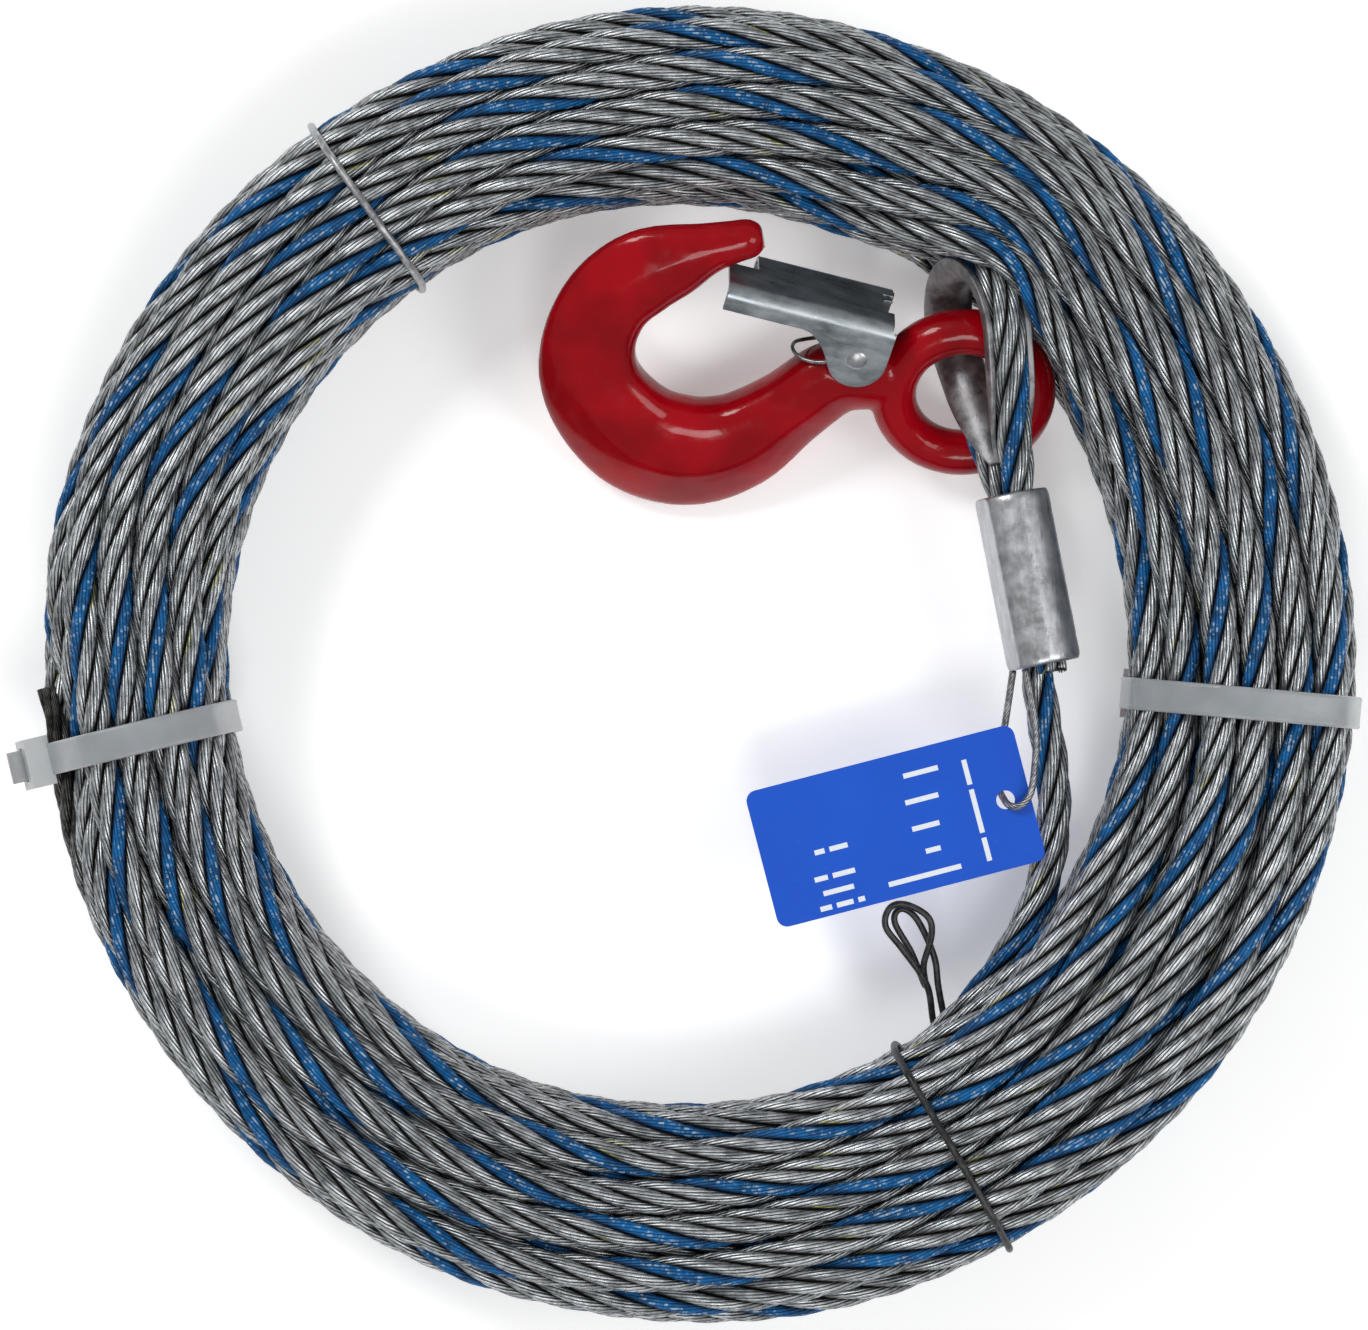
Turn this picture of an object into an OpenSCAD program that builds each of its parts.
// Coiled wire rope assembly for a hand-operated rope puller: a coiled rope with a
// thimble eye, a pressed ferrule, a sling hook with a safety latch, and an identity tag.
// The coil lies flat on z = 0. +Z is up, and the origin is the middle of the base.

/* [Rope] */
// Rope diameter
rope_d = 8.4; // [6:0.1:12]
// Diameter of the fused, tapered tip of the free end
rope_tip_d = 4.6; // [3:0.1:6]

/* [Coil] */
// Outer radius of the coil
coil_r_out = 154.6; // [125:0.1:190]
// Radius of the open middle of the coil
coil_r_in = 106.5; // [85:0.1:115]
// Height of the coil
coil_h = 50; // [42:0.5:62]
// Rounding of the bundle's edges
coil_edge = 16; // [8:0.5:20]

/* [Eye] */
// Inside width of the thimble at its crown
thimble_w = 19.4; // [18:0.2:26]
// Sheet thickness of the thimble
thimble_wall = 1.8; // [1.2:0.1:2.5]
// Length from the ferrule to the outside of the eye's crown
eye_len = 60.5; // [58:0.5:80]
// Length of the pressed ferrule
ferrule_len = 41; // [30:0.5:52]
// Metal of the ferrule outside the two ropes
ferrule_wall = 1.16; // [1:0.02:2.8]

/* [Hook] */
// Distance from the middle of the hook's ring to the back of its bowl
hook_reach = 100; // [82:1:122]
// Radius of the ring's centre line
ring_r = 16.5; // [16:0.1:20]
// Bar diameter of the ring
ring_bar = 11; // [9:0.1:12]
// Diameter of the rivet that the latch turns on
rivet_d = 4; // [3:0.1:5]

/* [Latch] */
// Outside width of the latch's channel
latch_w = 18.4; // [16.5:0.1:22]
// Sheet thickness of the latch
latch_t = 1.2; // [0.8:0.1:1.6]
// Wire diameter of the latch's spring
spring_wire = 1; // [0.8:0.1:1.2]

/* [Tag] */
// Length of the tag
tag_l = 65; // [55:1:78]
// Width of the tag
tag_w = 33; // [28:0.5:40]
// Thickness of the tag
tag_t = 0.9; // [0.5:0.1:1.2]
// Diameter of the tag's hole
tag_hole_d = 4.4; // [3.6:0.1:6]
// Diameter of the thin wire rope that holds the tag
tag_wire_d = 2; // [1.4:0.1:2.4]

/* [Ties] */
// Width of the nylon cable ties
strap_w = 7.5; // [4.8:0.1:9]
// Thickness of the nylon cable ties
strap_t = 1.3; // [1:0.1:1.8]
// Diameter of the galvanised binding wire
binding_d = 1.8; // [1.2:0.1:2.2]
// Diameter of the black coated binding wire
black_wire_d = 1.7; // [1.2:0.1:2.2]

/* [Hidden] */
$fn = 48;

rope_r = rope_d / 2;
coil_pos = [3.2, 0, 0];
// The open middle is a little off the centre of the coil, so the bundle is wider on one side.
hole_offset = [-4.5, 2.5, 0];
coil_w = coil_r_out - coil_r_in;

// Fits
rope_fit = 0.1;
notch_fit = 0.8;
groove_fit = 0.3;
running_fit = 0.06;
latch_side_fit = 0.25;
overcut = 1;

// The eye's own frame: x runs from the ferrule to the crown, y across the loop, z through it.
eye_pos = [84.6, 0, 30.8];
eye_turn = [112.5, 1.1, 101];
crown_r = thimble_w / 2 + thimble_wall + rope_r;
crown_x = ferrule_len + eye_len - crown_r - rope_r;
leg_y = rope_r * 0.95;
pressed_r = rope_r * 0.87;
ferrule_d = 2 * (leg_y + pressed_r + ferrule_wall);
leg_span = crown_x - ferrule_len;
leg_angle = asin(crown_r / norm([leg_span, leg_y])) - atan2(leg_y, leg_span);
groove_r = rope_r + rope_fit;
lip_t = 1.5;
thimble_half = groove_r + lip_t;
lip_top = crown_r + rope_r * 0.15;

// The hook's own frame: x and y in the hook's plane, with the ring's middle at the origin.
hook_pos = [66, 64.5, 19.9];
hook_roll = 33;
// Stations along the hook's centre line: x, y, half depth and half thickness, for a reach of 100
hook_line = [[-16, 3.5, 8, 5.6], [-23, 4.5, 8.6, 6.2], [-31, 3.5, 9.3, 6.6], [-41.5, -5, 9.8, 7],
    [-53, -13.5, 12.5, 7.3], [-64.5, -16.5, 14.3, 7.5], [-75.5, -13.5, 14.3, 7.5],
    [-84, -5, 13.2, 7.4], [-88.4, 5, 12, 7], [-88, 16, 11, 6.6], [-83.4, 26, 10.6, 6.3],
    [-76, 32.5, 10.6, 6], [-68, 36, 9.2, 5.6], [-60, 39, 6.2, 5.2], [-53.5, 40.8, 5, 4.8],
    [-50, 41.6, 4.2, 4.2], [-48.6, 42, 2.2, 2.4]];
hook_scale = hook_reach / 100;

// The latch turns on a rivet through the hook's neck.
rivet_at = [-25.6, 14.6] * hook_scale;
rivet_r = rivet_d / 2;
rivet_head_r = rivet_r + 1.3;
rivet_head_h = 1.7;
ear_r = rivet_r + 4.6;
web_turn = 164;
web_rise = 9.6;
latch_reach = 34 * hook_scale;
latch_back = 9.5;
flange_depth = 5;
lug_w = 9;
lug_r = rivet_r + 3.4;
spring_r = rivet_r + spring_wire / 2 + 0.35;

// The tag lies level, with its hole at tag_hole.
tag_hole = [75.6, -31.7];
tag_z = 28;
tag_turn = 14.6;
tag_edge = 5.9;
tag_side = 17;
tag_corner = 2.5;

// Ties round the bundle: angle from +X round the coil, then the lean of the tie's plane
strap_left_at = [187.5, 6];
strap_right_at = [356, -1];
binding_at = [126, 0];
black_at = [298, 3];
proud = 0.6;
tie_edge = coil_edge + 5;
tie_steps = 6;
// Each cable tie's head sits on a flat of its band, at this angle round the bundle's section.
head_left_turn = 22.5;
head_right_turn = 217.5;
head_size = [6, 6.4, 11.6];
stub_len = 3.4;

// Routes of the free ropes and wires, as points chosen by hand
tail_route = [[84, -10, 24.8], [86.4, -20, 23.4], [87.6, -31, 22.5], [87, -43, 22.4], [83.6, -56, 22.8],
    [77.4, -68, 23.6], [69.8, -78.6, 24.8], [60, -88.6, 26]];
free_end_route = [[-147.2, -15.4, 29.4], [-148.6, -12, 29.7], [-149.9, -8.6, 30], [-151, -5, 30.4]];
tag_wire_route = [[77.4, -1.4, 27.8], [76.5, -8, 26.4], [75.2, -17, 25.4], [74.2, -25, 25.2],
    [74.2, -29, 25.7], [75.3, -31.6, 28], [76.4, -33, 30.2], [78.8, -33.2, 31],
    [81.4, -30, 31.1], [82.4, -23, 31.1], [82.6, -16, 31.3], [81.6, -8, 31.6], [80, -1, 31.9]];
black_loop_route = [[60.5, -90.5, 15.5], [59, -84, 17], [57.4, -75.5, 19.8], [51.5, -67, 23.4],
    [47.4, -61.5, 25.4], [48.6, -57, 26], [52.4, -56.4, 26], [57.6, -59.4, 25.4],
    [58.4, -64, 24], [56.6, -71, 21.2], [57.4, -76.5, 17.2], [53.8, -68, 20.2], [49.6, -60.5, 22.8],
    [51.2, -57.4, 23], [55, -60, 22.4], [59.2, -69, 19.8], [60.2, -76, 18.4], [61.8, -84, 17.4],
    [63.6, -90, 15.8]];

// ---------- functions ----------

function unit(v) = v / norm(v);

function spline_at(a, b, c, d, t) =
    0.5 * (2 * b + (c - a) * t + (2 * a - 5 * b + 4 * c - d) * t * t + (3 * b - a - 3 * c + d) * t * t * t);

// A smooth curve through the points p, with n steps between each two
function smooth(p, n) = [
    for (i = [0:len(p) - 2], k = [0:n - 1])
        spline_at(p[max(i - 1, 0)], p[i], p[i + 1], p[min(i + 2, len(p) - 1)], k / n),
    p[len(p) - 1]
];

function tangents(p) = [
    for (i = [0:len(p) - 1]) unit(p[min(i + 1, len(p) - 1)] - p[max(i - 1, 0)])
];

function square_to(n, t) = unit(n - (n * t) * t);

// Normals carried along the curve without twist
function normals(t, start) = [
    for (i = 0, n = square_to(start, t[0]); i < len(t); i = i + 1, n = square_to(n, t[min(i, len(t) - 1)])) n
];

// Outline of a rounded rectangle that stands on y = 0 and is centred on x = 0
function rounded(w, h, r, steps) = [
    for (c = [[1, 1, 0], [-1, 1, 90], [-1, -1, 180], [1, -1, 270]], i = [0:steps])
        let (a = c[2] + 90 * i / steps)
            [c[0] * (w / 2 - r) + r * cos(a), c[1] * (h / 2 - r) + r * sin(a) + h / 2]
];

// Distance from the coil's centre to the open middle's edge in direction a
function hole_edge(a) = coil_r_in + hole_offset[0] * cos(a) + hole_offset[1] * sin(a);

// ---------- shared modules ----------

// Closed skin over a row of rings, each with the same number of points
module skin(rings, closed = false) {
    n = len(rings);
    m = len(rings[0]);
    sides = [
        for (i = [0:(closed ? n - 1 : n - 2)], j = [0:m - 1])
            let (a = i * m + j, b = i * m + (j + 1) % m, next = ((i + 1) % n) * m)
                each [[a, next + (j + 1) % m, b], [a, next + j, next + (j + 1) % m]]
    ];
    caps = closed ? [] : [[for (j = [0:m - 1]) j], [for (j = [m - 1:-1:0]) (n - 1) * m + j]];
    polyhedron([for (r = rings) each r], concat(sides, caps));
}

// Round tube along the points p, with one radius for each point
module tube(p, radii, sides, start = [0, 0, 1]) {
    t = tangents(p);
    n = normals(t, start);
    skin([
        for (i = [0:len(p) - 1])
            let (b = cross(t[i], n[i]))
                [for (j = [0:sides - 1]) p[i] + radii[i] * (n[i] * cos(360 * j / sides) + b * sin(360 * j / sides))]
    ]);
}

// Round wire along a closed outline in the XY plane
module wire_ring(outline, r, sides) {
    n = len(outline);
    skin([
        for (i = [0:n - 1])
            let (t = unit(outline[(i + 1) % n] - outline[(i + n - 1) % n]), out = [t[1], -t[0]])
                [
                    for (j = [0:sides - 1])
                        let (a = 360 * j / sides)
                            [outline[i][0] + out[0] * r * cos(a), outline[i][1] + out[1] * r * cos(a), -r * sin(a)]
                ]
    ], closed = true);
}

// Puts children, drawn as x outwards from the bundle's middle and y up, at a tie's place on the coil
module at_tie(place) {
    middle = (hole_edge(place[0]) + coil_r_out) / 2;
    translate(coil_pos) rotate([0, 0, place[0]]) translate([middle, 0, 0]) rotate([90, 0, place[1]]) children();
}

function bundle_w(place) = coil_r_out - hole_edge(place[0]) + 2 * proud;

// The band of space that a tie of thickness t and width w takes round the bundle
module tie_groove(place, t, w) {
    at_tie(place) difference() {
        translate([-coil_w, -overcut, -w / 2]) cube([2 * coil_w, coil_h + 2 * overcut, w]);
        translate([0, t, -w]) linear_extrude(2 * w)
            polygon(rounded(bundle_w(place) - 2 * t, coil_h - 2 * t, tie_edge - t, tie_steps));
    }
}

module at_eye() {
    translate(eye_pos) rotate(eye_turn) children();
}

module at_hook() {
    translate(hook_pos) rotate([hook_roll, 0, 0]) children();
}

// ---------- rope ----------

module rope_coil() {
    edge = [for (i = [0:6]) 90 * i / 6];
    color([0.42, 0.42, 0.43]) difference() {
        translate(coil_pos) difference() {
            rotate_extrude() polygon(concat(
                [[0, 0]],
                [for (a = edge) [coil_r_out - coil_edge + coil_edge * sin(a), coil_edge - coil_edge * cos(a)]],
                [for (a = edge) [coil_r_out - coil_edge + coil_edge * cos(a), coil_h - coil_edge + coil_edge * sin(a)]],
                [[0, coil_h]]
            ));
            translate(hole_offset) rotate_extrude() polygon(concat(
                [[0, -overcut], [coil_r_in + coil_edge, -overcut]],
                [for (a = edge) [coil_r_in + coil_edge - coil_edge * sin(a), coil_edge - coil_edge * cos(a)]],
                [for (a = edge) [coil_r_in + coil_edge - coil_edge * cos(a), coil_h - coil_edge + coil_edge * sin(a)]],
                [[coil_r_in + coil_edge, coil_h + overcut], [0, coil_h + overcut]]
            ));
        }
        tie_groove(strap_left_at, strap_t, strap_w + groove_fit);
        tie_groove(strap_right_at, strap_t, strap_w + groove_fit);
        tie_groove(binding_at, binding_d, binding_d + groove_fit);
        tie_groove(black_at, black_wire_d, black_wire_d + groove_fit);
        strap_head_room(strap_left_at, head_left_turn);
        strap_head_room(strap_right_at, head_right_turn);
        eye_notch();
        // Room for the hook's ring beside the bundle's inner edge, whichever way it has turned
        translate(hook_pos) sphere(r = ring_r + ring_bar / 2 + notch_fit);
    }
}

// Room in the bundle for the crown of the eye
module eye_notch() {
    at_eye() {
        translate([crown_x, 0, -thimble_half - notch_fit])
            cylinder(r = crown_r + rope_r + notch_fit, h = 2 * (thimble_half + notch_fit));
        translate([ferrule_len, -crown_r - rope_r - notch_fit, -thimble_half - notch_fit])
            cube([leg_span, 2 * (crown_r + rope_r + notch_fit), 2 * (thimble_half + notch_fit)]);
    }
}

// Point of the eye's frame in the model's frame
function turned(p, r) =
    let (
        a = [p[0], p[1] * cos(r[0]) - p[2] * sin(r[0]), p[1] * sin(r[0]) + p[2] * cos(r[0])],
        b = [a[0] * cos(r[1]) + a[2] * sin(r[1]), a[1], -a[0] * sin(r[1]) + a[2] * cos(r[1])]
    )
        [b[0] * cos(r[2]) - b[1] * sin(r[2]), b[0] * sin(r[2]) + b[1] * cos(r[2]), b[2]];

function in_eye(p) = eye_pos + turned(p, eye_turn);

module rope_tail() {
    pressed = [in_eye([ferrule_len / 2, -leg_y, 0]), in_eye([0, -leg_y, 0])];
    free = smooth(concat([in_eye([-3, -leg_y, 0])], tail_route), 4);
    color([0.45, 0.45, 0.46]) tube(
        concat(pressed, free),
        concat([pressed_r, pressed_r], [for (p = free) rope_r]), 12
    );
}

module rope_eye() {
    turn = 90 + leg_angle;
    crown = [for (i = [0:16]) let (a = turn - turn * i / 8) [crown_x + crown_r * cos(a), crown_r * sin(a), 0]];
    near = [[ferrule_len / 2 + 1, leg_y, 0], [ferrule_len, leg_y, 0], [ferrule_len + 3, leg_y + 0.9, 0]];
    far = [for (i = [2:-1:0]) [near[i][0], -near[i][1], 0]];
    radii = concat([pressed_r, pressed_r, rope_r], [for (p = crown) rope_r], [rope_r, pressed_r, pressed_r]);
    color([0.45, 0.45, 0.46]) at_eye() tube(concat(near, crown, far), radii, 12);
}

// The cut end that just shows below the ferrule
module rope_dead_end() {
    color([0.5, 0.5, 0.5]) at_eye() tube(
        [[ferrule_len / 2, leg_y, 0], [0, leg_y, 0], [-1.6, leg_y + 0.2, 0]],
        [pressed_r, pressed_r, pressed_r + 0.1], 12
    );
}

module rope_free_end() {
    p = smooth(free_end_route, 4);
    last = len(p) - 1;
    color([0.2, 0.2, 0.21]) tube(
        p, [for (i = [0:last]) rope_r + (rope_tip_d / 2 - rope_r) * max(0, (i - last / 3) / (last * 2 / 3))], 12
    );
}

// ---------- eye fittings ----------

// Section of the thimble's sheet: x outwards from the eye's middle, y across. The groove holds the rope.
function thimble_section() =
    let (inner = thimble_w / 2, mouth = acos((lip_top - crown_r) / groove_r))
        concat(
            [[lip_top, -thimble_half], [inner, -thimble_half], [inner, thimble_half], [lip_top, thimble_half]],
            [for (i = [0:8]) let (a = mouth + (360 - 2 * mouth) * i / 8) [crown_r + groove_r * cos(a), groove_r * sin(a)]]
        );

// The section at angle a round the crown, moved by d towards the ferrule
function thimble_ring(a, d) = [
    for (q = thimble_section()) [crown_x + q[0] * cos(a) - d * cos(leg_angle),
        q[0] * sin(a) - sign(a) * d * sin(leg_angle), q[1]]
];

module thimble() {
    turn = 90 + leg_angle;
    point_gap = 0.3;
    leg = (thimble_w / 2 * cos(leg_angle) - point_gap) / sin(leg_angle);
    color([0.62, 0.63, 0.64]) at_eye() skin(concat(
        [thimble_ring(turn, leg)],
        [for (i = [0:20]) thimble_ring(turn - 2 * turn * i / 20, 0)],
        [thimble_ring(-turn, leg)]
    ));
}

module ferrule() {
    r = ferrule_d / 2;
    chamfer = 1;
    color([0.75, 0.76, 0.78]) at_eye() difference() {
        rotate([90, 0, 90]) {
            cylinder(r1 = r - chamfer, r2 = r, h = chamfer);
            translate([0, 0, chamfer]) cylinder(r = r, h = ferrule_len - 2 * chamfer);
            translate([0, 0, ferrule_len - chamfer]) cylinder(r1 = r, r2 = r - chamfer, h = chamfer);
        }
        for (side = [-1, 1]) translate([-overcut, side * leg_y, 0]) rotate([90, 0, 90])
            cylinder(r = pressed_r, h = ferrule_len + 2 * overcut);
        // Witness flat left by the press along one side
        translate([-overcut, -ferrule_d, -r - overcut]) cube([ferrule_len + 2 * overcut, 2 * ferrule_d, overcut + 0.5]);
    }
}

// ---------- hook ----------

// Ring of points round one station of the hook
function hook_ring(s, t) = [
    for (j = [0:13])
        let (a = 360 * j / 14, out = [-t[1], t[0]])
            [s[0] + out[0] * s[2] * cos(a), s[1] + out[1] * s[2] * cos(a), s[3] * sin(a)]
];

module hook_body() {
    line = smooth(hook_line, 2) * hook_scale;
    t = tangents([for (s = line) [s[0], s[1]]]);
    color([0.68, 0.03, 0.06]) at_hook() difference() {
        union() {
            rotate_extrude() translate([ring_r, 0]) circle(r = ring_bar / 2);
            skin([for (i = [0:len(line) - 1]) hook_ring(line[i], t[i])]);
            translate([rivet_at[0], rivet_at[1], -lug_w / 2]) cylinder(r = lug_r, h = lug_w);
        }
        translate([rivet_at[0], rivet_at[1], -lug_w]) cylinder(r = rivet_r, h = 2 * lug_w);
        // Seats milled for the latch's ears beside the neck
        for (side = [-1, 1]) translate([rivet_at[0], rivet_at[1], side * (lug_w + latch_w) / 2])
            cylinder(r = ear_r + 0.6, h = latch_w, center = true);
    }
}

module latch_rivet() {
    dome_r = rivet_head_r * 1.25;
    color([0.75, 0.76, 0.78]) at_hook() translate([rivet_at[0], rivet_at[1], 0]) {
        cylinder(r = rivet_r, h = latch_w + 2 * running_fit, center = true);
        for (side = [0, 1]) mirror([0, 0, side]) translate([0, 0, latch_w / 2 + running_fit]) intersection() {
            translate([0, 0, rivet_head_h - dome_r]) sphere(r = dome_r);
            cylinder(r = rivet_head_r, h = 2 * rivet_head_h);
        }
    }
}

module at_latch() {
    at_hook() translate([rivet_at[0], rivet_at[1], 0]) rotate([0, 0, web_turn]) mirror([0, 1, 0]) children();
}

// Side of the latch as a flat outline: a narrow flange that widens into a round ear
module latch_side() {
    hull() {
        circle(r = ear_r);
        translate([-latch_back + 3, web_rise - 1]) square([latch_back + 4, 1]);
    }
    translate([-latch_back + 3, web_rise - flange_depth]) square([latch_reach + latch_back - 3, flange_depth]);
}

module latch_plate() {
    color([0.62, 0.64, 0.66]) at_latch() difference() {
        union() {
            for (side = [-1, 1]) translate([0, 0, side * (latch_w - latch_t) / 2 - latch_t / 2])
                linear_extrude(latch_t) latch_side();
            translate([-latch_back + 3, web_rise - latch_t, -latch_w / 2])
                cube([latch_reach + latch_back - 3, latch_t, latch_w]);
        }
        translate([0, 0, -latch_w]) cylinder(r = rivet_r + running_fit, h = 2 * latch_w);
        // Step cut in the web's free end
        translate([latch_reach - 7, -overcut, -latch_w]) cube([7 + overcut, 3 * web_rise, latch_w - 1.5]);
        // Notch in the web above the ears
        translate([-latch_back, web_rise - 2 * latch_t, -3]) cube([6, 4 * latch_t, 6]);
    }
}

// Double torsion spring: a coil beside each ear, and one bow that bears on the hook's neck
module latch_spring() {
    z = lug_w / 2 + spring_wire * 1.6;
    bow = [[spring_r, 0, z], [spring_r + 2, -3.5, z - 0.3], [spring_r + 6, -6.4, 3.6], [spring_r + 9, -6.6, 1.6],
        [spring_r + 9.6, -6.4, 0], [spring_r + 9, -6.6, -1.6], [spring_r + 6, -6.4, -3.6],
        [spring_r + 2, -3.5, -z + 0.3], [spring_r, 0, -z]];
    color([0.55, 0.55, 0.56]) at_latch() {
        for (side = [-1, 1], k = [-0.5, 0.5]) translate([0, 0, side * z + k * spring_wire * 1.05])
            rotate_extrude() translate([spring_r, 0]) circle(r = spring_wire / 2);
        tube(smooth(bow, 4), [for (i = [0:32]) spring_wire / 2], 8);
    }
}

// ---------- tag ----------

module tag_plate() {
    color([0.02, 0.24, 0.75]) translate([tag_hole[0], tag_hole[1], tag_z]) rotate([0, 0, tag_turn])
        linear_extrude(tag_t) difference() {
            translate([tag_edge - tag_l / 2, tag_side - tag_w])
                polygon(rounded(tag_l, tag_w, tag_corner, 5));
            circle(r = tag_hole_d / 2);
        }
}

module tag_wire() {
    p = smooth(tag_wire_route, 4);
    color([0.5, 0.5, 0.48]) tube(p, [for (q = p) tag_wire_d / 2], 8);
}

// ---------- ties ----------

module strap(place) {
    at_tie(place) translate([0, 0, -strap_w / 2]) linear_extrude(strap_w) difference() {
        polygon(rounded(bundle_w(place), coil_h, tie_edge, tie_steps));
        translate([0, strap_t])
            polygon(rounded(bundle_w(place) - 2 * strap_t, coil_h - 2 * strap_t, tie_edge - strap_t, tie_steps));
    }
}

module strap_left() {
    color([0.9, 0.9, 0.86]) {
        strap(strap_left_at);
        on_band(strap_left_at, head_left_turn) strap_stub(stub_len);
    }
}

module strap_right() {
    color([0.9, 0.9, 0.86]) {
        strap(strap_right_at);
        on_band(strap_right_at, head_right_turn) strap_stub(0);
    }
}

// Puts children on the outside of a tie's band, at angle a round the section, with x outwards
module on_band(place, a) {
    w = bundle_w(place);
    at_tie(place)
        translate([sign(cos(a)) * (w / 2 - tie_edge), coil_h / 2 + sign(sin(a)) * (coil_h / 2 - tie_edge), 0])
            rotate([0, 0, a]) translate([tie_edge * cos(45 / tie_steps), 0, 0]) children();
}

// Locking head of a cable tie with the cut end of the strap standing out of it
module strap_head() {
    difference() {
        translate([0, -head_size[1] / 2, -head_size[2] / 2]) cube(head_size);
        translate([-overcut, -strap_t / 2 - 0.2, -strap_w / 2 - 0.2])
            cube([head_size[0] + 2 * overcut, strap_t + 0.4, strap_w + 0.4]);
    }
}

module strap_head_room(place, a) {
    room = head_size + 2 * [groove_fit, groove_fit, groove_fit];
    on_band(place, a) translate([0, -room[1] / 2, -room[2] / 2]) cube(room);
}

// The cut end of the strap, which the head's slot holds
module strap_stub(stub) {
    translate([0, -strap_t / 2, -strap_w / 2]) cube([head_size[0] + stub, strap_t, strap_w]);
}

module strap_left_head() {
    color([0.93, 0.93, 0.9]) on_band(strap_left_at, head_left_turn) strap_head();
}

// This head lies in the corner below the bundle's inner edge.
module strap_right_head() {
    color([0.93, 0.93, 0.9]) on_band(strap_right_at, head_right_turn) strap_head();
}

module wire_tie(place, d) {
    at_tie(place) translate([0, d / 2])
        wire_ring(rounded(bundle_w(place) - d, coil_h - d, tie_edge - d / 2, tie_steps), d / 2, 8);
}

module binding_wire() {
    color([0.55, 0.56, 0.57]) wire_tie(binding_at, binding_d);
}

module black_wire() {
    color([0.06, 0.06, 0.07]) wire_tie(black_at, black_wire_d);
}

// Doubled end of the black wire: two loops twisted together at the bundle's inner edge
module black_wire_loops() {
    p = smooth(black_loop_route, 3);
    color([0.06, 0.06, 0.07]) tube(p, [for (q = p) black_wire_d / 2], 8);
}

rope_coil();
rope_tail();
rope_eye();
rope_dead_end();
rope_free_end();
thimble();
ferrule();
hook_body();
latch_plate();
latch_rivet();
latch_spring();
tag_plate();
tag_wire();
strap_left();
strap_left_head();
strap_right();
strap_right_head();
binding_wire();
black_wire();
black_wire_loops();
